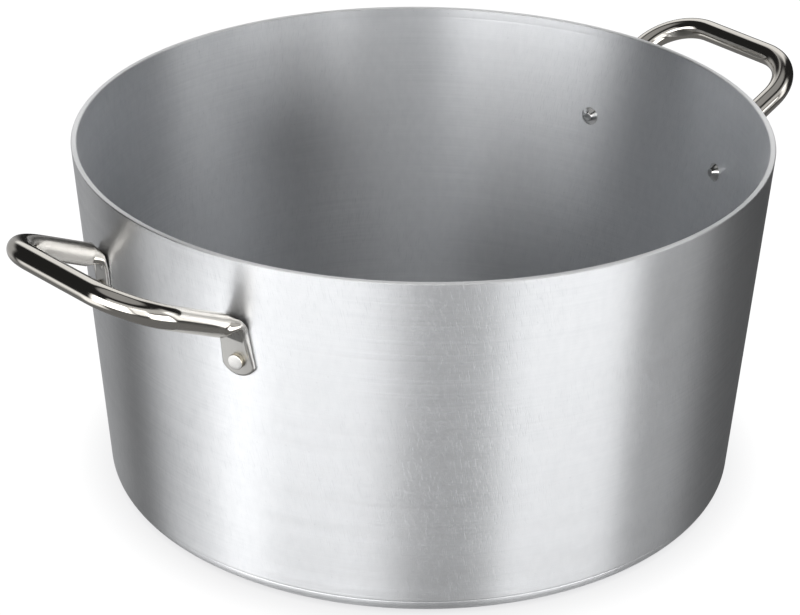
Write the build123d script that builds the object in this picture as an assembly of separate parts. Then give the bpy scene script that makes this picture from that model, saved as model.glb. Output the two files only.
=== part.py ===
from build123d import *
import math
import os

# Brew kettle: a spun aluminium pot with two riveted handles of flattened steel tube.
# Millimetres and degrees. +Z is up, the origin is the middle of the resting face, the handles
# point along +X and -X, and both lean a little towards -Y, the front.

# Pot
rim_outer_diameter = 366.0
pot_height = 190.0
wall_thickness = 3.0
base_thickness = 3.0
wall_taper_angle = 4.0        # the wall widens upwards by this much a side
base_corner_radius = 8.0      # outside; the inside is smaller by the wall
rim_chamfer = 0.4             # burr broken on both edges of the cut rim

# Handles
tube_diameter = 12.0
tube_wall = 1.0
leg_spacing = 104.0           # between the two legs where they reach the wall
leg_drop = 36.5               # rim down to where a leg's centre line reaches the wall
handle_reach = 68.5           # wall to the middle of the grip, along the handle's own slope
handle_rise_angle = 25.5      # the handle slopes up and out from the wall
handle_toe_in_angle = 1.2     # each leg leans towards the other on its way out
handle_corner_radius = 28.0   # centre line of the bent tube
handle_lead_angle = 2.6       # each handle stands this far towards the front of the X axis

# Lugs: the flattened and folded ends of the tube
lug_width = 18.2
lug_thickness = 2.0
lug_above_rivet = 20.2
lug_below_rivet = 8.7
lug_end_crown = 5.4           # how far the rounded end drops below its two corners
lug_lean_angle = 2.7          # the lug's lower end turns outwards
flatten_length = 10.0         # leg length over which the round tube is pressed flat
fold_height = 5.0             # depth of the pressed tube where it runs into the lug

# Rivets
rivet_drop = 53.4             # rim down to the rivet's axis at the wall
rivet_shank_diameter = 5.0
outer_head_diameter = 8.0
outer_head_height = 2.3
inner_head_diameter = 10.5
inner_head_top_diameter = 5.2
inner_head_height = 3.0

# Fits
rivet_hole_clearance = 0.05   # radial, around the shank
seat_gap = 0.02               # between pieces that the rivets clamp together

rim_radius = rim_outer_diameter / 2
taper = math.radians(wall_taper_angle)
base_radius = rim_radius - pot_height * math.tan(taper)
inner_corner_radius = max(base_corner_radius - wall_thickness, 1.0)
head_overlap = 1.0            # how far a head's blank reaches into the clamped stack before trimming


def wall_radius(height, offset=0.0):
    """Radius of the outer wall at a height, moved outwards square to the wall by the offset."""
    return base_radius + height * math.tan(taper) + offset / math.cos(taper)


def wall_solid(offset, low, high):
    """Solid cone that fills the wall's outer surface, moved outwards by the offset."""
    profile = Polyline(
        (0, low),
        (wall_radius(low, offset), low),
        (wall_radius(high, offset), high),
        (0, high),
        close=True,
    )
    return revolve(Plane.XZ * make_face(profile), Axis.Z)


def wall_band(inner_offset, outer_offset):
    """Ring between two surfaces parallel to the wall, longer than the wall at both ends."""
    low, high = -pot_height, 2 * pot_height
    return wall_solid(outer_offset, low, high) - wall_solid(inner_offset, low - 1, high + 1)


def wall_frame(spread, drop):
    """Plane on the outer wall: x sideways away from the handle's middle, y up the wall, z out."""
    height = pot_height - drop
    azimuth = math.asin(spread / wall_radius(height))
    outward = Vector(math.cos(azimuth), math.sin(azimuth), 0)
    sideways = Vector(-math.sin(azimuth), math.cos(azimuth), 0)
    normal = outward * math.cos(taper) - Vector(0, 0, 1) * math.sin(taper)
    origin = outward * wall_radius(height) + Vector(0, 0, height)
    return Plane(origin=origin, x_dir=sideways, z_dir=normal)


def handle_places():
    """Where each handle goes: a turn about Z that brings the +X handle to its place."""
    return {
        "right": Rot(Z=-handle_lead_angle),
        "left": Rot(Z=180 + handle_lead_angle),
    }


def rivet_places():
    """Rivet frames of the handle on +X before it is turned: one for each leg."""
    outer_leg = wall_frame(leg_spacing / 2, rivet_drop)
    return {1: outer_leg, -1: Plane(
        origin=Vector(outer_leg.origin.X, -outer_leg.origin.Y, outer_leg.origin.Z),
        x_dir=Vector(outer_leg.x_dir.X, -outer_leg.x_dir.Y, outer_leg.x_dir.Z),
        z_dir=Vector(outer_leg.z_dir.X, -outer_leg.z_dir.Y, outer_leg.z_dir.Z),
    )}


def make_pot():
    """Shell turned about Z, with a rounded bottom corner and a bare rim, drilled for the rivets."""
    outside = wall_solid(0, 0, pot_height)
    outside = fillet(outside.edges().sort_by(Axis.Z)[0], base_corner_radius)
    inside = wall_solid(-wall_thickness, base_thickness, pot_height + 1)
    inside = fillet(inside.edges().sort_by(Axis.Z)[0], inner_corner_radius)
    shell = outside - inside
    rim_edges = shell.edges().filter_by_position(Axis.Z, pot_height - 0.01, pot_height + 0.01)
    shell = chamfer(rim_edges, rim_chamfer)
    hole_radius = rivet_shank_diameter / 2 + rivet_hole_clearance
    for place in handle_places().values():
        for frame in rivet_places().values():
            shell -= place * (frame * Cylinder(hole_radius, 6 * wall_thickness))
    return shell


def handle_plane():
    """The handle's own sloping plane: x out from the wall, y sideways."""
    height = pot_height - leg_drop
    half = leg_spacing / 2
    foot = math.sqrt(wall_radius(height) ** 2 - half ** 2)
    rise = math.radians(handle_rise_angle)
    return Plane(
        origin=(foot, 0, height),
        x_dir=(math.cos(rise), 0, math.sin(rise)),
        z_dir=(-math.sin(rise), 0, math.cos(rise)),
    )


def tube_path():
    """Centre line of the round tube in the handle's plane, from one leg to the other."""
    slope = math.tan(math.radians(handle_toe_in_angle))
    half = leg_spacing / 2
    start, end = flatten_length, handle_reach
    points = [
        (start, -(half - start * slope)),
        (end, -(half - end * slope)),
        (end, half - end * slope),
        (start, half - start * slope),
    ]
    return FilletPolyline(*points, radius=handle_corner_radius)


def tube_length_of(radius, path):
    """Round bar of the radius along the path."""
    section = Plane(origin=path @ 0, z_dir=path % 0) * Circle(radius)
    return sweep(section, path=path)


def make_lug():
    """Plate on the wall under the leg on +Y: straight sides, rounded lower end, rivet hole."""
    frame = rivet_places()[1]
    half = lug_width / 2
    corner = lug_crown_start()
    outline = Polyline((half, corner), (half, lug_above_rivet), (-half, lug_above_rivet), (-half, corner))
    outline += ThreePointArc((-half, corner), (0, -lug_below_rivet), (half, corner))
    blank = extrude(make_face(outline), amount=4 * lug_thickness, both=True)
    return (frame * Rot(Z=lug_lean_angle) * blank) & wall_band(seat_gap, seat_gap + lug_thickness)


def lug_crown_start():
    """Height of the lug's lower corners, measured from the rivet."""
    return lug_end_crown - lug_below_rivet


def make_transition():
    """The leg on +Y where it is pressed from a round tube into the flat lug."""
    slope = math.radians(handle_toe_in_angle)
    half = leg_spacing / 2
    plane = handle_plane()
    start = plane.from_local_coords(Vector(flatten_length, half - flatten_length * math.tan(slope), 0))
    along = plane.from_local_coords(Vector(math.cos(slope), -math.sin(slope), 0)) - plane.origin
    across = plane.from_local_coords(Vector(math.sin(slope), math.cos(slope), 0)) - plane.origin
    round_end = Plane(origin=start, x_dir=across, z_dir=-along) * Circle(tube_diameter / 2)
    lug_plane = rivet_places()[1] * Rot(Z=lug_lean_angle) * Pos(
        0, lug_above_rivet - fold_height / 2, seat_gap + lug_thickness / 2)
    flat_end = lug_plane * SlotOverall(lug_width, fold_height)
    return loft([round_end.face(), flat_end.face()])


def make_handle():
    """One handle on +X: a hollow bent tube that ends in two riveting lugs."""
    path = handle_plane() * tube_path()
    tube = tube_length_of(tube_diameter / 2, path) - tube_length_of(tube_diameter / 2 - tube_wall, path)
    foot = make_transition() + make_lug()
    foot -= wall_solid(seat_gap, -pot_height, 2 * pot_height)
    hole = Cylinder(rivet_shank_diameter / 2 + rivet_hole_clearance, 8 * lug_thickness)
    foot -= rivet_places()[1] * hole
    return tube + foot + mirror(foot, about=Plane.XZ)


def make_rivet():
    """One rivet in its own frame: z = 0 on the outer wall, flat head outside, cone head inside."""
    lug_face = seat_gap + lug_thickness
    outer_blank = Pos(Z=lug_face - head_overlap) * Cylinder(
        outer_head_diameter / 2, head_overlap + outer_head_height,
        align=(Align.CENTER, Align.CENTER, Align.MIN))
    inner_blank = Pos(Z=-wall_thickness - inner_head_height) * Cone(
        inner_head_top_diameter / 2, inner_head_diameter / 2, inner_head_height,
        align=(Align.CENTER, Align.CENTER, Align.MIN))
    inner_root = Pos(Z=-wall_thickness) * Cylinder(
        inner_head_diameter / 2, head_overlap, align=(Align.CENTER, Align.CENTER, Align.MIN))
    shank = Pos(Z=-wall_thickness - head_overlap) * Cylinder(
        rivet_shank_diameter / 2, wall_thickness + lug_face + 2 * head_overlap,
        align=(Align.CENTER, Align.CENTER, Align.MIN))
    return outer_blank + inner_blank + inner_root, shank


def place_rivet(frame):
    """A rivet in place on +X: its heads are trimmed to the curved faces that they clamp."""
    heads, shank = make_rivet()
    stack = wall_band(-wall_thickness - seat_gap, lug_thickness + 2 * seat_gap)
    return (frame * heads) - stack + (frame * shank)


def main():
    os.makedirs("parts", exist_ok=True)
    pieces = {"kettle_body": make_pot()}
    handle = make_handle()
    for side, place in handle_places().items():
        pieces[f"handle_{side}"] = place * handle
        for leg, frame in rivet_places().items():
            towards_front = leg < 0 if side == "right" else leg > 0
            name = f"rivet_{side}_{'front' if towards_front else 'rear'}"
            pieces[name] = place * place_rivet(frame)
    for name, piece in pieces.items():
        export_step(piece, f"parts/{name}.step")


main()
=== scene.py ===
import bmesh
import bpy
import math
from mathutils import Matrix, Vector
from mathutils.geometry import intersect_line_line


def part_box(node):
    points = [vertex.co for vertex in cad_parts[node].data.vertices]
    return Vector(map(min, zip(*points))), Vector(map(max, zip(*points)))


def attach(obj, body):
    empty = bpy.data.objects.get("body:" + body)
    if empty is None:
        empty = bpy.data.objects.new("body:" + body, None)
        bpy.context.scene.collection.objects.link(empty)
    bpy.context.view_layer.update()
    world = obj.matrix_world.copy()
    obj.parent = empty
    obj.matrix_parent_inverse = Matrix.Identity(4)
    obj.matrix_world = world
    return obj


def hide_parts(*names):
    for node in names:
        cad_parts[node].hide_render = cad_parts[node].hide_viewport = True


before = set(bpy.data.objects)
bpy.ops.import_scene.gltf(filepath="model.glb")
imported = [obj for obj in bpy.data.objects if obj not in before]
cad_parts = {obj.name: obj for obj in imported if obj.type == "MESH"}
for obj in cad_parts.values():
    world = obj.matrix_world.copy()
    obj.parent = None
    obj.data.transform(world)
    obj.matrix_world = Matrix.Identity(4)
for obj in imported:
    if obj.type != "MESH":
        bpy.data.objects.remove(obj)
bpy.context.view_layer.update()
print("frame loaded:", sorted(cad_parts))

scene = bpy.context.scene
scene.view_settings.view_transform = "Standard"
weldGap = 1e-6                         # points closer than this are one point


# Small helpers

def addNode(tree, kind, **settings):
    node = tree.nodes.new(kind)
    for key, value in settings.items():
        setattr(node, key, value)
    return node


def feed(tree, socket, value):         # a socket takes a link or a plain value
    if isinstance(value, bpy.types.NodeSocket):
        tree.links.new(value, socket)
    else:
        socket.default_value = value


def calc(tree, operation, first, second=None, third=None):
    node = addNode(tree, "ShaderNodeMath", operation=operation)
    for place, value in enumerate((first, second, third)):
        if value is not None:
            feed(tree, node.inputs[place], value)
    return node.outputs[0]


def splitVector(tree, vector):         # the X, Y and Z of a vector
    node = addNode(tree, "ShaderNodeSeparateXYZ")
    feed(tree, node.inputs[0], vector)
    return node.outputs[0], node.outputs[1], node.outputs[2]


def joinVector(tree, x, y, z):
    node = addNode(tree, "ShaderNodeCombineXYZ")
    for socket, value in zip(node.inputs, (x, y, z)):
        feed(tree, socket, value)
    return node.outputs[0]


def aroundAxis(tree, radius, angle, height):    # a place at a distance round Z
    return joinVector(tree, calc(tree, "MULTIPLY", radius, calc(tree, "COSINE", angle)),
                      calc(tree, "MULTIPLY", radius, calc(tree, "SINE", angle)), height)


def startTree(name, kind, inputs, outputs):
    tree = bpy.data.node_groups.new(name, kind)
    for way, rows in (("INPUT", inputs), ("OUTPUT", outputs)):
        for label, socketKind, value in rows:
            socket = tree.interface.new_socket(label, in_out=way, socket_type=socketKind)
            if value is not None:
                socket.default_value = value
    return tree, tree.nodes.new("NodeGroupInput").outputs, tree.nodes.new("NodeGroupOutput").inputs


def endPiece(tree, given, result, solid):       # real faces with the piece's material
    whole = addNode(tree, "GeometryNodeRealizeInstances")
    feed(tree, whole.inputs[0], solid)
    paint = addNode(tree, "GeometryNodeSetMaterial")
    feed(tree, paint.inputs["Geometry"], whole.outputs[0])
    feed(tree, paint.inputs["Material"], given["Material"])
    feed(tree, result["Mesh"], paint.outputs[0])


def addObject(name, data):
    piece = bpy.data.objects.new(name, data)
    scene.collection.objects.link(piece)
    return piece


def growNodes(source, tree, settings, name):    # runs a Geometry Nodes tree and keeps a plain mesh
    modifier = source.modifiers.new("grow", "NODES")
    modifier.node_group = tree
    sockets = {item.name: item.identifier for item in tree.interface.items_tree
               if item.in_out == "INPUT"}
    for label, value in settings.items():
        modifier[sockets[label]] = value
    return plainCopy(source, name)


def plainCopy(source, name):           # the evaluated shape as a plain mesh, normals outwards
    bpy.context.view_layer.update()
    shaped = source.evaluated_get(bpy.context.evaluated_depsgraph_get())
    mesh = bpy.data.meshes.new_from_object(shaped)
    bpy.data.objects.remove(source)
    mesh.name = name
    turnOutwards(mesh)
    return addObject(name, mesh)


def turnOutwards(mesh):
    shell = bmesh.new()
    shell.from_mesh(mesh)
    bmesh.ops.remove_doubles(shell, verts=shell.verts, dist=weldGap)
    bmesh.ops.recalc_face_normals(shell, faces=shell.faces)
    shell.to_mesh(mesh)
    shell.free()


def smoothBelow(piece, angle):         # smooth faces with crisp edges past an angle
    for face in piece.data.polygons:
        face.use_smooth = True
    piece.data.set_sharp_from_angle(angle=math.radians(angle))


def arcPoints(centre, radius, startAngle, endAngle, steps):
    turns = [startAngle + (endAngle - startAngle) * i / steps for i in range(steps + 1)]
    return [(centre[0] + radius * math.cos(math.radians(t)),
             centre[1] + radius * math.sin(math.radians(t))) for t in turns]


def outlineObject(name, points):       # an open line of (radius, height) points
    mesh = bpy.data.meshes.new(name)
    mesh.from_pydata([(r, 0, z) for r, z in points], [(i, i + 1) for i in range(len(points) - 1)], [])
    return addObject(name, mesh)


# The camera

shot = {
    "lens": 107.17,                    # millimetres, on a 36 mm wide sensor
    "distance": 1.2487,                # metres to the middle of the rim
    "azimuth": -132.03,                # degrees from +X, seen from above
    "elevation": 22.911,               # above the rim's plane
    "turnSide": 0.498,                 # then the camera turns off the rim's middle
    "turnUp": -4.333,
    "roll": -0.796,
}


def makeCamera(shot):
    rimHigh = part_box("kettle_body")[1].z
    turn, lift = math.radians(shot["azimuth"]), math.radians(shot["elevation"])
    back = Vector((math.cos(turn) * math.cos(lift), math.sin(turn) * math.cos(lift), math.sin(lift)))
    aim = (-back).to_track_quat("-Z", "Y").to_matrix()
    aim = aim @ Matrix.Rotation(math.radians(shot["turnSide"]), 3, "Y")
    aim = aim @ Matrix.Rotation(math.radians(shot["turnUp"]), 3, "X")
    aim = aim @ Matrix.Rotation(-math.radians(shot["roll"]), 3, "Z")
    data = bpy.data.cameras.new("camera")
    data.lens = shot["lens"]
    data.sensor_width = 36
    camera = addObject("camera", data)
    place = back * shot["distance"] + Vector((0, 0, rimHigh))
    camera.matrix_world = Matrix.Translation(place) @ aim.to_4x4()
    scene.camera = camera


makeCamera(shot)
print("camera set")


# The pot: a profile turned about Z

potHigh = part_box("kettle_body")[1]
pot = {
    "rimRadius": potHigh.x,
    "height": potHigh.z,
    "taper": math.radians(4.0),        # the wall widens upwards
    "wall": 0.003,
    "base": 0.003,
    "cornerRadius": 0.008,             # outside, under the wall
    "innerCorner": 0.005,
    "rimBreak": 0.0004,                # burr broken off both edges of the cut rim
    "cornerSteps": 14,
    "segments": 360,
    "rollerMark": (0.0004, 0.00006),   # width and depth of the mark above the bottom corner
    "rimMark": (0.0005, 0.00001),      # and of the one inside, below the rim
    "rimMarkDrop": 0.005,
    "markGap": 0.001,                  # plain wall left beside a mark or a corner
    "bands": 24,                       # rows of faces up the wall
    "crease": 35,                      # degrees past which an edge stays crisp
}


def wallRadius(height, offset=0.0):    # outer wall at a height, moved outwards square to the wall
    base = pot["rimRadius"] - pot["height"] * math.tan(pot["taper"])
    return base + height * math.tan(pot["taper"]) + offset / math.cos(pot["taper"])


def wallRun(low, high, offset, rows):  # points straight up the wall
    heights = [low + (high - low) * i / rows for i in range(rows + 1)]
    return [(wallRadius(z, offset), z) for z in heights]


def grooveOn(height, offset, mark, side):       # a shallow turned groove
    width, depth = mark
    return [(wallRadius(height + width * step / 2, offset) - side * deep * depth,
             height + width * step / 2) for step, deep in ((-1, 0), (-0.4, 1), (0.4, 1), (1, 0))]


def cornerArc(floor, offset, radius):  # rounds the flat floor into the leaning wall
    centreHeight = floor + radius
    centreRadius = wallRadius(centreHeight, offset) - radius / math.cos(pot["taper"])
    lean = -math.degrees(pot["taper"])
    return arcPoints((centreRadius, centreHeight), radius, -90, lean, pot["cornerSteps"])


def potProfile():
    rim, broken = pot["height"], pot["rimBreak"]
    outerArc = cornerArc(0, 0, pot["cornerRadius"])
    innerArc = cornerArc(pot["base"], -pot["wall"], pot["innerCorner"])
    mark = grooveOn(outerArc[-1][1] + pot["rollerMark"][0], 0, pot["rollerMark"], 1)
    line = grooveOn(rim - pot["rimMarkDrop"], -pot["wall"], pot["rimMark"], -1)
    outside = wallRun(mark[-1][1] + pot["markGap"], rim - broken, 0, pot["bands"])
    inside = wallRun(innerArc[-1][1] + pot["markGap"], line[0][1] - pot["markGap"], -pot["wall"],
                     pot["bands"])
    top = [(wallRadius(rim) - broken, rim), (wallRadius(rim, -pot["wall"]) + broken, rim)]
    lip = [(wallRadius(rim - broken, -pot["wall"]), rim - broken)]
    floor = pot["base"]
    under = [(outerArc[0][0] * share, 0) for share in (0, 0.25, 0.5, 0.75)]
    bottom = [(innerArc[0][0] * share, floor) for share in (0.75, 0.5, 0.25, 0)]
    return (under + outerArc + mark + outside + top + lip + line[::-1] + inside[::-1]
            + innerArc[::-1] + bottom)


def turningTree():                     # turns an outline about Z, with a UV map that runs round it
    tree, given, result = startTree("turnedSolid", "GeometryNodeTree", [
        ("Outline", "NodeSocketGeometry", None), ("Segments", "NodeSocketInt", 64)],
        [("Solid", "NodeSocketGeometry", None)])
    count = addNode(tree, "GeometryNodeAttributeDomainSize")
    feed(tree, count.inputs["Geometry"], given["Outline"])
    points = count.outputs["Point Count"]
    grid = addNode(tree, "GeometryNodeMeshGrid")
    feed(tree, grid.inputs["Vertices X"], calc(tree, "ADD", given["Segments"], 1))
    feed(tree, grid.inputs["Vertices Y"], points)
    index = addNode(tree, "GeometryNodeInputIndex").outputs[0]
    sample = addNode(tree, "GeometryNodeSampleIndex", data_type="FLOAT_VECTOR")
    feed(tree, sample.inputs["Geometry"], given["Outline"])
    feed(tree, sample.inputs["Value"], addNode(tree, "GeometryNodeInputPosition").outputs[0])
    feed(tree, sample.inputs["Index"], calc(tree, "MODULO", index, points))
    column = calc(tree, "FLOOR", calc(tree, "DIVIDE", calc(tree, "ADD", index, 0.5), points))
    angle = calc(tree, "MULTIPLY", calc(tree, "DIVIDE", column, given["Segments"]), 2 * math.pi)
    radius, _, high = splitVector(tree, sample.outputs["Value"])
    move = addNode(tree, "GeometryNodeSetPosition")
    feed(tree, move.inputs["Geometry"], grid.outputs["Mesh"])
    feed(tree, move.inputs["Position"], aroundAxis(tree, radius, angle, high))
    chart = addNode(tree, "GeometryNodeStoreNamedAttribute", data_type="FLOAT2", domain="CORNER")
    chart.inputs["Name"].default_value = "UVMap"
    feed(tree, chart.inputs["Geometry"], move.outputs[0])
    feed(tree, chart.inputs["Value"], grid.outputs["UV Map"])
    weld = addNode(tree, "GeometryNodeMergeByDistance")
    weld.inputs["Distance"].default_value = weldGap
    feed(tree, weld.inputs["Geometry"], chart.outputs[0])
    feed(tree, result["Solid"], weld.outputs[0])
    return tree


def potTree(turning):
    tree, given, result = startTree("pot", "GeometryNodeTree", [
        ("Outline", "NodeSocketGeometry", None), ("Segments", "NodeSocketInt", 64),
        ("Material", "NodeSocketMaterial", None)], [("Mesh", "NodeSocketGeometry", None)])
    turned = addNode(tree, "GeometryNodeGroup", node_tree=turning)
    feed(tree, turned.inputs["Outline"], given["Outline"])
    feed(tree, turned.inputs["Segments"], given["Segments"])
    endPiece(tree, given, result, turned.outputs["Solid"])
    return tree


# The rivets: one turned shape at four places

rivet = {
    "drop": 0.0534,                    # rim down to the rivet's axis, at the wall
    "spread": 0.052,                   # from the handle's middle line, sideways
    "lead": math.radians(2.6),         # each handle stands this far towards the front
    "shank": 0.0025,
    "hole": 0.00255,
    "drill": (-0.008, 0.006),          # the holes' cutter, from inside the pot to outside
    "headRadius": 0.004,
    "headHigh": 0.0023,
    "headEdge": 0.00035,
    "headCrown": 0.00012,
    "coneRadius": 0.00525,
    "coneTop": 0.0026,
    "coneHigh": 0.003,
    "coneEdge": 0.0004,
    "coneDimple": 0.00025,
    "seat": 0.00002,                   # gap between clamped faces
    "plate": 0.002,                    # the lug under the outer head
    "headEnd": 0.16,                   # shares of the outline, top first: the head's edge
    "shankStart": 0.45,                # and the end of its side
    "segments": 40,
    "holeSegments": 48,
    "crease": 35,
}
rivet["height"] = pot["height"] - rivet["drop"]
rivet["swing"] = math.asin(rivet["spread"] / wallRadius(rivet["height"]))


def rivetProfile():                    # z = 0 on the outer wall, the flat head outside
    face = 2 * rivet["seat"] + rivet["plate"]
    top = face + rivet["headHigh"] - rivet["headCrown"]
    back = -pot["wall"] - 2 * rivet["seat"]
    end = back - rivet["coneHigh"]
    edge, blunt = rivet["headEdge"], rivet["coneEdge"]
    head = arcPoints((rivet["headRadius"] - edge, top - edge), edge, 90, 0, 5)
    foot = arcPoints((rivet["headRadius"] - edge / 2, face + edge / 2), edge / 2, 0, -90, 3)
    root = arcPoints((rivet["coneRadius"] - blunt / 2, back - blunt / 2), blunt / 2, 90, -30, 4)
    tip = arcPoints((rivet["coneTop"] - blunt, end + blunt), blunt, -30, -90, 4)
    crown = rivet["headCrown"]
    dimple = end + rivet["coneDimple"]
    return ([(0, top + crown), (rivet["headRadius"] * 0.5, top + crown * 0.75)] + head + foot
            + [(rivet["shank"], face), (rivet["shank"], back)] + root + tip
            + [(rivet["coneTop"] * 0.35, dimple), (0, dimple)])


def fourPlacesTree(name, turning):     # the turned shape, stood square on the wall at each leg
    tree, given, result = startTree(name, "GeometryNodeTree", [
        ("Outline", "NodeSocketGeometry", None), ("Segments", "NodeSocketInt", 32),
        ("Wall radius", "NodeSocketFloat", 0.18), ("Height", "NodeSocketFloat", 0.1),
        ("Handle lead", "NodeSocketFloat", 0.0), ("Leg swing", "NodeSocketFloat", 0.3),
        ("Wall taper", "NodeSocketFloat", 0.07), ("Material", "NodeSocketMaterial", None)],
        [("Mesh", "NodeSocketGeometry", None)])
    turned = addNode(tree, "GeometryNodeGroup", node_tree=turning)
    feed(tree, turned.inputs["Outline"], given["Outline"])
    feed(tree, turned.inputs["Segments"], given["Segments"])
    spots = addNode(tree, "GeometryNodeMeshLine", count_mode="TOTAL")
    spots.inputs["Count"].default_value = 4
    index = addNode(tree, "GeometryNodeInputIndex").outputs[0]
    left = calc(tree, "FLOOR", calc(tree, "DIVIDE", calc(tree, "ADD", index, 0.5), 2))
    leg = calc(tree, "SUBTRACT", calc(tree, "MULTIPLY", calc(tree, "MODULO", index, 2), 2), 1)
    toFront = calc(tree, "SUBTRACT", calc(tree, "MULTIPLY", left, 2), 1)
    lead = calc(tree, "MULTIPLY", toFront, given["Handle lead"])
    middle = calc(tree, "MULTIPLY_ADD", left, math.pi, lead)
    azimuth = calc(tree, "MULTIPLY_ADD", leg, given["Leg swing"], middle)
    move = addNode(tree, "GeometryNodeSetPosition")
    feed(tree, move.inputs["Geometry"], spots.outputs["Mesh"])
    foot = aroundAxis(tree, given["Wall radius"], azimuth, given["Height"])
    feed(tree, move.inputs["Position"], foot)
    tip = calc(tree, "ADD", given["Wall taper"], math.pi / 2)      # Z over to the wall's normal
    stand = addNode(tree, "GeometryNodeInstanceOnPoints")
    feed(tree, stand.inputs["Points"], move.outputs[0])
    feed(tree, stand.inputs["Instance"], turned.outputs["Solid"])
    feed(tree, stand.inputs["Rotation"], joinVector(tree, 0.0, tip, azimuth))
    endPiece(tree, given, result, stand.outputs[0])
    return tree


def atRivets(tree, outline, segments, material, name):
    source = outlineObject(name + "Outline", outline)
    return growNodes(source, tree, {
        "Segments": segments, "Wall radius": wallRadius(rivet["height"]), "Height": rivet["height"],
        "Handle lead": rivet["lead"], "Leg swing": rivet["swing"], "Wall taper": pot["taper"],
        "Material": material}, name)


# The handles: one loft from the lug's tip, through the pressed fold and round the bent tube

handle = {
    "radius": 0.006,
    "legHalf": 0.052,                  # leg centre line to the handle's middle, at the wall
    "legDrop": 0.0365,                 # rim down to where a leg's centre line meets the wall
    "reach": 0.0685,
    "rise": math.radians(25.5),
    "toeIn": math.radians(1.2),
    "corner": 0.028,
    "pressStart": 0.0102,              # leg distance from the wall where the tube starts to flatten
    "pressEnd": 0.0052,                # where the fold takes over
    "pressTop": 0.00415,               # surface above and below the leg's centre line there
    "pressUnder": 0.0016,
    "roll": math.radians(-12),         # the pressed end turns its outer side up
    "lugHalf": 0.0091,
    "lugPlate": 0.001,                 # half of the pressed thickness
    "lugLean": math.radians(2.7),
    "foldEnd": 0.0135,                 # above the rivet, where the lug's middle leaves the wall
    "foldTilt": 0.405,                 # the fold climbs towards the outer side
    "narrow": 0.0016,                  # the outer side comes in by this much, up to the fold
    "dart": (-0.0044, 0.0040, 0.0069), # inner end, lowest point and outer end of the pressed dart
    "dartLow": 0.0105,                 # its lowest point above the rivet
    "dartRise": 0.3,
    "cornerUp": -0.0033,               # where the straight sides end, from the rivet
    "tipDown": -0.0087,
    "foldSharp": 3.0,                  # how tightly the inner face turns the fold
    "foldSoft": 0.5,
    "bead": 0.0011,                    # the tube's outer wall stays proud of the lug
    "beadWidth": 0.0012,
    "beadIn": 1.25,                    # from the lug's side to its crest, in widths
    "beadSharp": 1.6,
    "beadFade": 0.001,                 # it has gone this far below the rivet
    "bendStep": 0.0004,                # how far back the fold looks for its direction
    "around": 96,
    "legRings": 12,
    "cornerRings": 30,
    "gripRings": 14,
    "foldRings": 14,
    "lugRings": 40,
    "tipRings": 12,
    "crease": 50,
}


def handlePlane():
    height = pot["height"] - handle["legDrop"]
    foot = math.sqrt(wallRadius(height) ** 2 - handle["legHalf"] ** 2)
    rise = handle["rise"]
    return (Vector((foot, 0, height)), Vector((math.cos(rise), 0, math.sin(rise))), Vector((0, 1, 0)),
            Vector((-math.sin(rise), 0, math.cos(rise))))


def pressedSection(top, under, half, share):   # half the way round a tube pressed to a stadium
    thick = (top + under) / 2
    middle = (top - under) / 2
    flat = half - thick
    length = math.pi * thick + 2 * flat        # from the outer side over the top to the inner side
    walk = abs(share) * length
    bend = math.pi * thick / 2
    if walk < bend:
        turn = walk / thick
        across, up = flat + thick * math.cos(turn), thick * math.sin(turn)
    elif walk > length - bend:
        turn = (length - walk) / thick
        across, up = -flat - thick * math.cos(turn), thick * math.sin(turn)
    else:
        across, up = flat - (walk - bend), thick
    return across, middle + math.copysign(up, share)


def pressedWidth(thick):               # a pressed tube keeps the length of its skin
    full = handle["radius"]
    flatShare = (full - thick) / (full - handle["lugPlate"])
    kept = thick + math.pi / 2 * (full - thick)
    keptFlat = handle["lugPlate"] + math.pi / 2 * (full - handle["lugPlate"])
    return kept + flatShare * (handle["lugHalf"] - keptFlat)


def shares():                          # signed steps round a section: + over the top, - underneath
    count = handle["around"]
    half = count // 2
    return [i / half for i in range(half)] + [-1 + i / half for i in range(half)]


def legPoint(share, along):            # a point on the leg, at a distance from the wall
    origin, out, side, up = handlePlane()
    toe = handle["toeIn"]
    axis = out * math.cos(toe) - side * math.sin(toe)
    across = out * math.sin(toe) + side * math.cos(toe)
    pressed = (handle["pressStart"] - along) / (handle["pressStart"] - handle["pressEnd"])
    pressed = max(0.0, min(1.0, pressed))
    top = handle["radius"] + (handle["pressTop"] - handle["radius"]) * pressed
    under = handle["radius"] + (handle["pressUnder"] - handle["radius"]) * pressed
    x, y = pressedSection(top, under, pressedWidth((top + under) / 2), share)
    roll = handle["roll"] * pressed
    x, y = x * math.cos(roll) + y * math.sin(roll), y * math.cos(roll) - x * math.sin(roll)
    start = origin + side * handle["legHalf"]
    return start + axis * along / math.cos(toe) + across * x + up * y


def cornerPoint(share, turn):          # the bent corner, turn from 0 at the leg to 1 at the grip
    origin, out, side, up = handlePlane()
    toe, radius = handle["toeIn"], handle["corner"]
    sweep = math.pi / 2 - toe
    setBack = radius * math.tan(sweep / 2)
    tip = Vector((handle["reach"], handle["legHalf"] - handle["reach"] * math.tan(toe)))
    start = tip - Vector((math.cos(toe), -math.sin(toe))) * setBack
    centre = start - Vector((math.sin(toe), math.cos(toe))) * radius
    angle = math.pi / 2 - toe - sweep * turn
    outward = Vector((math.cos(angle), math.sin(angle)))
    x, y = pressedSection(handle["radius"], handle["radius"], handle["radius"], share)
    spot = centre + outward * (radius + x)
    return origin + out * spot.x + side * spot.y + up * y


def gripPoint(share, part):            # from the corner's end, part 0, to the handle's middle, part 1
    side = handlePlane()[2]
    start = cornerPoint(share, 1)
    return start - side * start.y * part


def lugOutline(high):                  # half width of the lug at a height from the rivet
    if high > handle["cornerUp"]:
        return handle["lugHalf"]
    return math.sqrt(max(0.0, endRadius() ** 2 - (high - endCentre()) ** 2))


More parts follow.
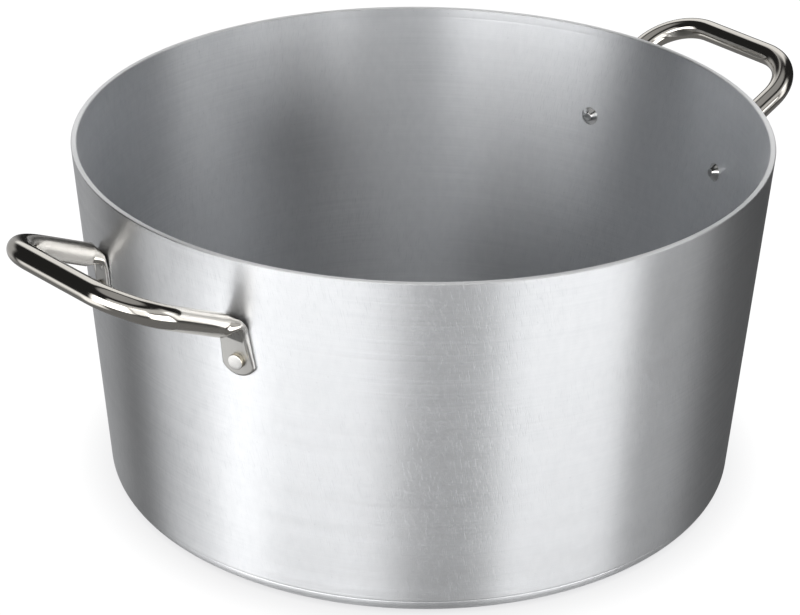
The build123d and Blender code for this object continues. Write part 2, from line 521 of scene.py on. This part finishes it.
def endRadius():
    deep = handle["cornerUp"] - handle["tipDown"]
    return (handle["lugHalf"] ** 2 + deep ** 2) / (2 * deep)


def endCentre():
    return handle["tipDown"] + endRadius()


def lugSide(share, high):              # how far across the lug a share of its section lies
    x = pressedSection(handle["lugPlate"], handle["lugPlate"], handle["lugHalf"], share)[0]
    x *= lugOutline(high) / handle["lugHalf"]
    climb = (high - handle["cornerUp"]) / (handle["foldEnd"] - handle["cornerUp"])
    return x - max(0.0, x) / handle["lugHalf"] * handle["narrow"] * max(0.0, climb)


def foldHigh(x):
    return handle["foldEnd"] + handle["foldTilt"] * x


def dartOn(x, high):                   # the triangle of metal pushed out below the fold
    inner, low, outer = handle["dart"]
    if not inner < x < outer:
        return 0.0
    end = inner if x < low else outer
    lower = handle["dartLow"] + (foldHigh(end) - handle["dartLow"]) * (x - low) / (end - low)
    return handle["dartRise"] * max(0.0, high - lower)


def beadOn(x, high):                   # fades out beside the rivet
    fade = (high + handle["beadFade"]) / (handle["foldEnd"] + handle["beadFade"])
    fade = max(0.0, min(1.0, fade))
    crest = handle["lugHalf"] - handle["narrow"] * fade - handle["beadIn"] * handle["beadWidth"]
    away = (x - crest) / handle["beadWidth"]
    return handle["bead"] * fade * math.exp(-handle["beadSharp"] * away ** 2)


def lugPoint(share, high):             # + shares face the wall, - shares face outwards
    plate = handle["lugPlate"]
    x = lugSide(share, high)
    edge = handle["lugHalf"] - abs(pressedSection(plate, plate, handle["lugHalf"], share)[0])
    if high < handle["cornerUp"]:
        edge = min(handle["lugHalf"] - abs(x), endRadius() - math.hypot(x, high - endCentre()))
    edge = max(0.0, min(plate, edge))
    thick = math.sqrt(max(0.0, plate ** 2 - (plate - edge) ** 2))
    out = plate - math.copysign(thick, share)
    if share < 0:
        out += beadOn(x, high) + dartOn(x, high)
    return onWall(x, high, rivet["seat"] + out)


def onWall(x, y, out):                 # lug coordinates to the pot's leaning, curved wall
    lean = handle["lugLean"]
    x, y = x * math.cos(lean) - y * math.sin(lean), x * math.sin(lean) + y * math.cos(lean)
    height = rivet["height"] + y * math.cos(pot["taper"]) - out * math.sin(pot["taper"])
    surface = wallRadius(rivet["height"] + y * math.cos(pot["taper"]))
    azimuth = rivet["swing"] + x / surface
    radius = surface + out * math.cos(pot["taper"])
    return Vector((radius * math.cos(azimuth), radius * math.sin(azimuth), height))


def foldPoint(share, part):            # turns from the pressed leg, part 0, down onto the wall, part 1
    step, legEnd = handle["bendStep"], handle["pressEnd"]
    lugTop = foldHigh(lugSide(share, handle["foldEnd"]))
    start, end = legPoint(share, legEnd), lugPoint(share, lugTop)
    before, after = legPoint(share, legEnd + step), lugPoint(share, lugTop - step)
    meet = intersect_line_line(before, start, end, after)
    bend = (meet[0] + meet[1]) / 2
    weight = handle["foldSoft"]
    if share < 0:
        weight += (handle["foldSharp"] - weight) * math.sin(math.pi * abs(share))
    a, b, c = (1 - part) ** 2, 2 * weight * part * (1 - part), part ** 2
    return (start * a + bend * b + end * c) / (a + b + c)


def spaced(start, end, count, last=True):
    return [start + (end - start) * i / count for i in range(count + (1 if last else 0))]


def handleRings():                     # from the tip of the lug on +Y to the middle of the grip
    turns = shares()
    cap = [1 - math.cos(t) for t in spaced(0, math.pi / 2, handle["tipRings"], False)]
    depth = handle["cornerUp"] - handle["tipDown"]
    rings = [[lugPoint(s, handle["tipDown"] + depth * c) for s in turns] for c in cap]
    tops = [foldHigh(lugSide(s, handle["foldEnd"])) for s in turns]
    rings += [[lugPoint(s, handle["cornerUp"] + (top - handle["cornerUp"]) * part)
               for s, top in zip(turns, tops)] for part in spaced(0, 1, handle["lugRings"], False)]
    rings += [[foldPoint(s, 1 - part) for s in turns]
              for part in spaced(0, 1, handle["foldRings"], False)]
    rings += [[legPoint(s, u) for s in turns]
              for u in spaced(handle["pressEnd"], handle["pressStart"], handle["legRings"], False)]
    rings += [[legPoint(s, u) for s in turns]
              for u in spaced(handle["pressStart"], legLength(), handle["legRings"], False)]
    rings += [[cornerPoint(s, t) for s in turns] for t in spaced(0, 1, handle["cornerRings"], False)]
    rings += [[gripPoint(s, t) for s in turns] for t in spaced(0, 1, handle["gripRings"])]
    return rings


def legLength():                       # wall to the start of the bent corner
    toe = handle["toeIn"]
    return handle["reach"] - handle["corner"] * math.tan((math.pi / 2 - toe) / 2) * math.cos(toe)


def handleMesh(name, turn):
    half = handleRings()
    mirrored = [[Vector((p.x, -p.y, p.z)) for p in ring] for ring in half[-2::-1]]
    rings = half + mirrored
    place = Matrix.Rotation(turn, 3, "Z")
    count = handle["around"]
    verts = [place @ p for ring in rings for p in ring]
    faces, charts = [], []
    walk = [0.0]
    for one, two in zip(rings, rings[1:]):
        middles = [sum(ring, Vector()) / count for ring in (one, two)]
        walk.append(walk[-1] + (middles[1] - middles[0]).length)
    for r in range(len(rings) - 1):
        for i in range(count):
            j = (i + 1) % count
            faces.append((r * count + i, r * count + j, (r + 1) * count + j, (r + 1) * count + i))
            left, right = i / count, (i + 1) / count
            charts += [(left, walk[r]), (right, walk[r]), (right, walk[r + 1]), (left, walk[r + 1])]
    mesh = bpy.data.meshes.new(name)
    mesh.from_pydata(verts, [], faces)
    layer = mesh.uv_layers.new(name="UVMap")
    layer.data.foreach_set("uv", [n for uv in charts for n in uv])
    worked = mesh.attributes.new("pressed", "FLOAT", "POINT")
    flatRings = handle["tipRings"] + handle["lugRings"]
    blend = handle["foldRings"] + handle["legRings"]
    levels = [max(0.0, min(1.0, (flatRings + blend - min(r, len(rings) - 1 - r)) / blend))
              for r in range(len(rings))]
    worked.data.foreach_set("value", [level for level in levels for _ in range(count)])
    turnOutwards(mesh)
    return addObject(name, mesh)


def drillHoles(piece, cutter, name):
    modifier = piece.modifiers.new("holes", "BOOLEAN")
    modifier.operation = "DIFFERENCE"
    modifier.solver = "EXACT"
    modifier.object = cutter
    return plainCopy(piece, name)


def coat(piece, material):             # one finish on every face, in the drilled holes too
    piece.data.materials.clear()
    piece.data.materials.append(material)


# Materials: what several finishes share is a node group

finish = {
    "aluminium": (0.80, 0.81, 0.825, 1),
    "dullAluminium": (0.63, 0.645, 0.665, 1),
    "cutAluminium": (0.90, 0.905, 0.91, 1),
    "steel": (0.68, 0.65, 0.60, 1),
    "satinSteel": (0.45, 0.445, 0.43, 1),
    "steelMarks": (0.42, 0.41, 0.39, 1),
    "rivetTop": (0.80, 0.795, 0.78, 1),
    # painted shade: the rivet head's side and underside are darker and warmer than its top
    "rivetSidePaintedShade": (0.62, 0.57, 0.46, 1),
    "rivetMarks": (0.5, 0.49, 0.46, 1),
}


def useGroup(tree, group, **values):
    node = addNode(tree, "ShaderNodeGroup", node_tree=group)
    for label, value in values.items():
        feed(tree, node.inputs[label], value)
    return node.outputs[0]


def mixColours(tree, share, first, second):
    node = addNode(tree, "ShaderNodeMix", data_type="RGBA")
    feed(tree, node.inputs["Factor"], share)
    feed(tree, node.inputs[6], first)
    feed(tree, node.inputs[7], second)
    return node.outputs[2]


def weighted(tree, first, *rows):      # a start value plus each (socket, weight)
    total = first
    for socket, weight in rows:
        total = calc(tree, "MULTIPLY_ADD", socket, weight, total)
    return total


def streaksGroup():                    # noise stretched by its own scale on each axis
    tree, given, result = startTree("streaks", "ShaderNodeTree", [
        ("Place", "NodeSocketVector", None), ("Stretch", "NodeSocketVector", (10, 10, 10)),
        ("Detail", "NodeSocketFloat", 2.0), ("Low", "NodeSocketFloat", 0.35),
        ("High", "NodeSocketFloat", 0.65)], [("Mask", "NodeSocketFloat", None)])
    stretched = addNode(tree, "ShaderNodeVectorMath", operation="MULTIPLY")
    feed(tree, stretched.inputs[0], given["Place"])
    feed(tree, stretched.inputs[1], given["Stretch"])
    noise = addNode(tree, "ShaderNodeTexNoise")
    noise.inputs["Scale"].default_value = 1.0
    feed(tree, noise.inputs["Vector"], stretched.outputs[0])
    feed(tree, noise.inputs["Detail"], given["Detail"])
    ramp = addNode(tree, "ShaderNodeMapRange")
    feed(tree, ramp.inputs["Value"], noise.outputs[0])
    feed(tree, ramp.inputs["From Min"], given["Low"])
    feed(tree, ramp.inputs["From Max"], given["High"])
    feed(tree, result["Mask"], ramp.outputs[0])
    return tree


def specksGroup():                     # small round pits, in a share of the cells
    tree, given, result = startTree("specks", "ShaderNodeTree", [
        ("Place", "NodeSocketVector", None), ("Scale", "NodeSocketFloat", 400.0),
        ("Size", "NodeSocketFloat", 0.25), ("Share", "NodeSocketFloat", 0.1)],
        [("Mask", "NodeSocketFloat", None)])
    cells = addNode(tree, "ShaderNodeTexVoronoi")
    feed(tree, cells.inputs["Vector"], given["Place"])
    feed(tree, cells.inputs["Scale"], given["Scale"])
    split = addNode(tree, "ShaderNodeSeparateColor")
    feed(tree, split.inputs[0], cells.outputs["Color"])
    chosen = calc(tree, "LESS_THAN", split.outputs[0], given["Share"])
    near = addNode(tree, "ShaderNodeMapRange")
    feed(tree, near.inputs["Value"], cells.outputs["Distance"])
    feed(tree, near.inputs["From Min"], given["Size"])
    feed(tree, near.inputs["From Max"], calc(tree, "MULTIPLY", given["Size"], 0.4))
    feed(tree, result["Mask"], calc(tree, "MULTIPLY", chosen, near.outputs[0]))
    return tree


def uvPlace(tree):
    return addNode(tree, "ShaderNodeUVMap", uv_map="UVMap").outputs[0]


def objectPlace(tree):
    return addNode(tree, "ShaderNodeTexCoord").outputs["Object"]


def turnedPlace(tree):                 # the third axis runs up the walls and out along the floors
    x, y, z = splitVector(tree, objectPlace(tree))
    across = calc(tree, "ADD", calc(tree, "POWER", x, 2), calc(tree, "POWER", y, 2))
    return joinVector(tree, x, y, calc(tree, "ADD", z, calc(tree, "SQRT", across)))


def slantedPlace(tree, slant):         # twists about Z with height, so upright lines lean over
    place = objectPlace(tree)
    twist = addNode(tree, "ShaderNodeVectorRotate", rotation_type="Z_AXIS")
    feed(tree, twist.inputs["Vector"], place)
    feed(tree, twist.inputs["Angle"], calc(tree, "MULTIPLY", splitVector(tree, place)[2], slant))
    return twist.outputs[0]


def roundPlace(tree, radius):          # the UV map wrapped round a bar, so it has no seam
    around, along, _ = splitVector(tree, uvPlace(tree))
    return aroundAxis(tree, radius, calc(tree, "MULTIPLY", around, 2 * math.pi), along)


def bareMetal(name):
    material = bpy.data.materials.new(name)
    material.use_nodes = True
    shader = material.node_tree.nodes["Principled BSDF"]
    shader.inputs["Metallic"].default_value = 1.0
    return material, material.node_tree, shader


def addBump(tree, shader, height, strength, distance):
    bump = addNode(tree, "ShaderNodeBump")
    bump.inputs["Strength"].default_value = strength
    bump.inputs["Distance"].default_value = distance
    feed(tree, bump.inputs["Height"], height)
    feed(tree, shader.inputs["Normal"], bump.outputs[0])


def spunAluminium():
    material, tree, shader = bareMetal("spunAluminium")
    shader.inputs["Anisotropic"].default_value = 0.85
    shader.inputs["Anisotropic Rotation"].default_value = 0.25     # highlights spread across the lines
    tangent = addNode(tree, "ShaderNodeTangent", direction_type="UV_MAP")
    tangent.uv_map = "UVMap"
    feed(tree, shader.inputs["Tangent"], tangent.outputs[0])

    whole = objectPlace(tree)
    turned, slanted = turnedPlace(tree), slantedPlace(tree, 0.9)
    fine = useGroup(tree, streaks, Place=turned, Stretch=(6, 6, 2200), Detail=3)
    middling = useGroup(tree, streaks, Place=turned, Stretch=(5, 5, 640), Detail=2)
    broad = useGroup(tree, streaks, Place=turned, Stretch=(2.5, 2.5, 170), Detail=3)
    hair = useGroup(tree, streaks, Place=slanted, Stretch=(2300, 2300, 75), Detail=1, Low=0.56,
                    High=0.74)
    patches = useGroup(tree, streaks, Place=whole, Stretch=(11, 11, 14), Detail=2, Low=0.38, High=0.60)
    worn = useGroup(tree, streaks, Place=whole, Stretch=(16, 16, 9), Detail=3, Low=0.40, High=0.62)
    cloud = useGroup(tree, streaks, Place=whole, Stretch=(9, 9, 5), Detail=4, Low=0.3, High=0.7)
    mottle = useGroup(tree, streaks, Place=whole, Stretch=(260, 260, 150), Detail=3, Low=0.3, High=0.7)
    pits = useGroup(tree, specks, Place=whole, Scale=330, Size=0.22, Share=0.06)
    scratches = calc(tree, "MULTIPLY", hair, patches)
    brushed = calc(tree, "MULTIPLY", middling, worn)

    rimRange = addNode(tree, "ShaderNodeMapRange")     # the cut rim is brighter and rougher
    feed(tree, rimRange.inputs["Value"], splitVector(tree, whole)[2])
    rimRange.inputs["From Min"].default_value = pot["height"] - pot["rimBreak"] * 1.5
    rimRange.inputs["From Max"].default_value = pot["height"] - pot["rimBreak"] * 0.5
    rim = rimRange.outputs[0]

    dull = weighted(tree, -0.05, (cloud, 0.16), (brushed, 0.2), (broad, 0.05), (fine, 0.08),
                    (mottle, 0.2), (pits, 0.3), (scratches, 0.4))
    tone = mixColours(tree, dull, finish["aluminium"], finish["dullAluminium"])
    feed(tree, shader.inputs["Base Color"], mixColours(tree, rim, tone, finish["cutAluminium"]))
    rough = weighted(tree, 0.35, (fine, 0.02), (brushed, 0.05), (broad, 0.02), (cloud, 0.04),
                     (scratches, 0.08), (rim, 0.08))
    feed(tree, shader.inputs["Roughness"], rough)
    height = weighted(tree, 0.0, (fine, 0.4), (brushed, 0.7), (broad, 0.4), (mottle, 0.45),
                      (scratches, -0.7), (pits, -0.7))
    addBump(tree, shader, height, 0.16, 0.0002)
    return material


def polishedSteel():
    material, tree, shader = bareMetal("polishedSteel")
    place = roundPlace(tree, handle["radius"])
    worked = addNode(tree, "ShaderNodeAttribute", attribute_name="pressed").outputs["Fac"]
    lengthwise = useGroup(tree, streaks, Place=place, Stretch=(2200, 2200, 30), Detail=2)
    wave = useGroup(tree, streaks, Place=place, Stretch=(120, 120, 60), Detail=1, Low=0.2, High=0.8)
    smear = useGroup(tree, streaks, Place=place, Stretch=(90, 90, 45), Detail=4, Low=0.35, High=0.75)
    nicks = useGroup(tree, streaks, Place=place, Stretch=(500, 500, 1800), Detail=1, Low=0.70,
                     High=0.76)
    pits = useGroup(tree, specks, Place=place, Scale=700, Size=0.25, Share=0.05)
    satin = calc(tree, "MULTIPLY", worked, worked)

    tone = mixColours(tree, satin, finish["steel"], finish["satinSteel"])
    marks = weighted(tree, 0.0, (smear, 0.15), (pits, 0.4), (nicks, 0.3))
    feed(tree, shader.inputs["Base Color"], mixColours(tree, marks, tone, finish["steelMarks"]))
    grain = calc(tree, "MULTIPLY", lengthwise, satin)
    rough = weighted(tree, 0.07, (smear, 0.05), (lengthwise, 0.03), (nicks, 0.08), (satin, 0.2),
                     (grain, 0.08))
    feed(tree, shader.inputs["Roughness"], rough)
    height = weighted(tree, 0.0, (wave, 0.8), (lengthwise, 0.03), (grain, 0.12), (pits, -0.1),
                      (nicks, -0.08))
    addBump(tree, shader, height, 0.25, 0.0002)
    return material


def rivetSteel():
    material, tree, shader = bareMetal("rivetSteel")
    place = roundPlace(tree, rivet["headRadius"])
    along = splitVector(tree, uvPlace(tree))[1]
    top = calc(tree, "LESS_THAN", along, rivet["headEnd"])
    side = calc(tree, "MULTIPLY", calc(tree, "GREATER_THAN", along, rivet["headEnd"]),
                calc(tree, "LESS_THAN", along, rivet["shankStart"]))
    rings = useGroup(tree, streaks, Place=place, Stretch=(120, 120, 160), Detail=2)
    smear = useGroup(tree, streaks, Place=place, Stretch=(500, 500, 20), Detail=3)
    pits = useGroup(tree, specks, Place=objectPlace(tree), Scale=1500, Size=0.25, Share=0.08)
    # painted shade: the head's side and underside take a darker, warmer colour than the top of the
    # same steel
    tone = mixColours(tree, side, finish["rivetTop"], finish["rivetSidePaintedShade"])
    marks = weighted(tree, 0.0, (smear, 0.2), (pits, 0.3))
    feed(tree, shader.inputs["Base Color"], mixColours(tree, marks, tone, finish["rivetMarks"]))
    rough = weighted(tree, 0.1, (top, 0.2), (rings, 0.05), (smear, 0.05))
    feed(tree, shader.inputs["Roughness"], rough)
    addBump(tree, shader, weighted(tree, 0.0, (rings, 0.4), (pits, -0.4)), 0.2, 0.0001)
    return material


# Build

streaks, specks = streaksGroup(), specksGroup()
aluminium = spunAluminium()
steel = polishedSteel()
rivetMetal = rivetSteel()

turning = turningTree()
fourPlaces = fourPlacesTree("fourPlaces", turning)
bore = rivet["hole"]
inner, outer = rivet["drill"]
drill = [(0, inner), (bore, inner), (bore, outer), (0, outer)]
cutter = atRivets(fourPlaces, drill, rivet["holeSegments"], None, "drill")

body = growNodes(outlineObject("potOutline", potProfile()), potTree(turning), {
    "Segments": pot["segments"], "Material": aluminium}, "potBody")
body = drillHoles(body, cutter, "pot")
coat(body, aluminium)
smoothBelow(body, pot["crease"])
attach(body, "root")
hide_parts("kettle_body")
print("pot:", len(body.data.polygons), "faces")

for side, turn in (("right", -rivet["lead"]), ("left", math.pi + rivet["lead"])):
    bail = drillHoles(handleMesh(side + "Bar", turn), cutter, side + "Handle")
    coat(bail, steel)
    smoothBelow(bail, handle["crease"])
    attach(bail, "root")
    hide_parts("handle_" + side)
    print(side, "handle:", len(bail.data.polygons), "faces")

pins = atRivets(fourPlaces, rivetProfile(), rivet["segments"], rivetMetal, "rivets")
coat(pins, rivetMetal)
smoothBelow(pins, rivet["crease"])
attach(pins, "root")
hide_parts("rivet_left_front", "rivet_left_rear", "rivet_right_front", "rivet_right_rear")
bpy.data.objects.remove(cutter)
print("rivets:", len(pins.data.polygons), "faces")


# The studio: soft lights round the pot, and a pale floor that only the camera sees

studio = {
    "floorHalf": 4.0,
    "paper": (1.05, 1.05, 1.05, 1),
    "contact": (0.72, 0.72, 0.73, 1),  # the floor's shade where something stands on it
    "contactReach": 0.03,
    "ambient": 0.02,
    "under": 0.17,                     # a little more from below
    "underFade": (-0.17, -0.6),        # the sky's height, from 1 overhead to -1 underfoot
    "overhead": 0.35,                  # and from straight above
    "overheadFade": (0.84, 0.92),
}

softLights = {                         # Middle is an azimuth, Low and High are heights, in degrees
    "left": {"Middle": -168.5, "Half width": 31, "Edge": 10, "Low": -17, "High": 25, "Fade": 4,
             "Strength": 3.95},
    "leftSide": {"Middle": 148, "Half width": 22, "Edge": 10, "Low": -42, "High": -14, "Fade": 6,
                 "Strength": 1.3},
    "right": {"Middle": -84, "Half width": 22.3, "Edge": 3, "Low": -22, "High": 12, "Fade": 4,
              "Strength": 3.4},
    "rightTail": {"Middle": -45, "Half width": 9, "Edge": 7, "Low": -10, "High": 33, "Fade": 4,
                  "Strength": 1.6},
    "gap": {"Middle": -114, "Half width": 15.8, "Edge": 3, "Low": -10, "High": 30, "Fade": 4,
            "Strength": 1.4},
    "high": {"Middle": -100, "Half width": 74, "Edge": 5, "Low": 20, "High": 44, "Fade": 4,
             "Strength": 0.6},
    "rear": {"Middle": 85, "Half width": 24, "Edge": 8, "Low": -30, "High": 15, "Fade": 8,
             "Strength": 0.4},
    "back": {"Middle": 48, "Half width": 28, "Edge": 6, "Low": 12, "High": 50, "Fade": 5,
             "Strength": 1.0},
}


def smoothRise(tree, value, start, end):
    node = addNode(tree, "ShaderNodeMapRange", interpolation_type="SMOOTHSTEP")
    for label, number in (("Value", value), ("From Min", start), ("From Max", end)):
        feed(tree, node.inputs[label], number)
    return node.outputs[0]


def skyPlace(tree):                    # the direction looked in
    return addNode(tree, "ShaderNodeTexCoord").outputs["Generated"]


def softLightGroup():
    tree, given, result = startTree("softLight", "ShaderNodeTree", [
        ("Middle", "NodeSocketFloat", 0.0), ("Half width", "NodeSocketFloat", 20.0),
        ("Edge", "NodeSocketFloat", 5.0), ("Low", "NodeSocketFloat", -20.0),
        ("High", "NodeSocketFloat", 40.0), ("Fade", "NodeSocketFloat", 10.0),
        ("Strength", "NodeSocketFloat", 1.0)], [("Light", "NodeSocketFloat", None)])
    x, y, z = splitVector(tree, skyPlace(tree))
    azimuth = calc(tree, "DEGREES", calc(tree, "ARCTAN2", y, x))
    height = calc(tree, "DEGREES", calc(tree, "ARCSINE", z))
    turn = calc(tree, "WRAP", calc(tree, "SUBTRACT", azimuth, given["Middle"]), 180, -180)
    inner = calc(tree, "SUBTRACT", given["Half width"], given["Edge"])
    outer = calc(tree, "ADD", given["Half width"], given["Edge"])
    across = smoothRise(tree, calc(tree, "ABSOLUTE", turn), outer, inner)
    above = smoothRise(tree, height, calc(tree, "SUBTRACT", given["Low"], given["Fade"]),
                       calc(tree, "ADD", given["Low"], given["Fade"]))
    below = smoothRise(tree, height, calc(tree, "ADD", given["High"], given["Fade"]),
                       calc(tree, "SUBTRACT", given["High"], given["Fade"]))
    shape = calc(tree, "MULTIPLY", across, calc(tree, "MULTIPLY", above, below))
    feed(tree, result["Light"], calc(tree, "MULTIPLY", shape, given["Strength"]))
    return tree


def toCamera(tree, seen, unseen):      # one shader for the camera's own rays, one for the rest
    mix = addNode(tree, "ShaderNodeMixShader")
    feed(tree, mix.inputs[0], addNode(tree, "ShaderNodeLightPath").outputs["Is Camera Ray"])
    feed(tree, mix.inputs[1], unseen.outputs[0])
    feed(tree, mix.inputs[2], seen.outputs[0])
    return mix.outputs[0]


def makeWorld():
    world = bpy.data.worlds.new("studio")
    world.use_nodes = True
    tree = world.node_tree
    tree.nodes.clear()
    softLight = softLightGroup()
    high = splitVector(tree, skyPlace(tree))[2]
    total = weighted(tree, studio["ambient"],
                     (smoothRise(tree, high, *studio["underFade"]), studio["under"]),
                     (smoothRise(tree, high, *studio["overheadFade"]), studio["overhead"]))
    for settings in softLights.values():
        total = calc(tree, "ADD", total, useGroup(tree, softLight, **settings))
    lit = addNode(tree, "ShaderNodeBackground")
    lit.inputs["Color"].default_value = (1, 1, 1, 1)
    feed(tree, lit.inputs["Strength"], total)
    paper = addNode(tree, "ShaderNodeBackground")
    paper.inputs["Color"].default_value = studio["paper"]
    feed(tree, addNode(tree, "ShaderNodeOutputWorld").inputs[0], toCamera(tree, paper, lit))
    scene.world = world


def makeFloor():
    half = studio["floorHalf"]
    mesh = bpy.data.meshes.new("floor")
    mesh.from_pydata([(-half, -half, 0), (half, -half, 0), (half, half, 0), (-half, half, 0)], [],
                     [(0, 1, 2, 3)])
    material = bpy.data.materials.new("palePaper")
    material.use_nodes = True
    tree = material.node_tree
    tree.nodes.clear()
    corner = addNode(tree, "ShaderNodeAmbientOcclusion")
    corner.inputs["Distance"].default_value = studio["contactReach"]
    paper = addNode(tree, "ShaderNodeEmission")
    shade = mixColours(tree, corner.outputs["AO"], studio["contact"], studio["paper"])
    feed(tree, paper.inputs["Color"], shade)
    clear = addNode(tree, "ShaderNodeBsdfTransparent")
    feed(tree, addNode(tree, "ShaderNodeOutputMaterial").inputs[0], toCamera(tree, paper, clear))
    mesh.materials.append(material)
    floor = addObject("floor", mesh)


makeWorld()
makeFloor()
print("studio set")
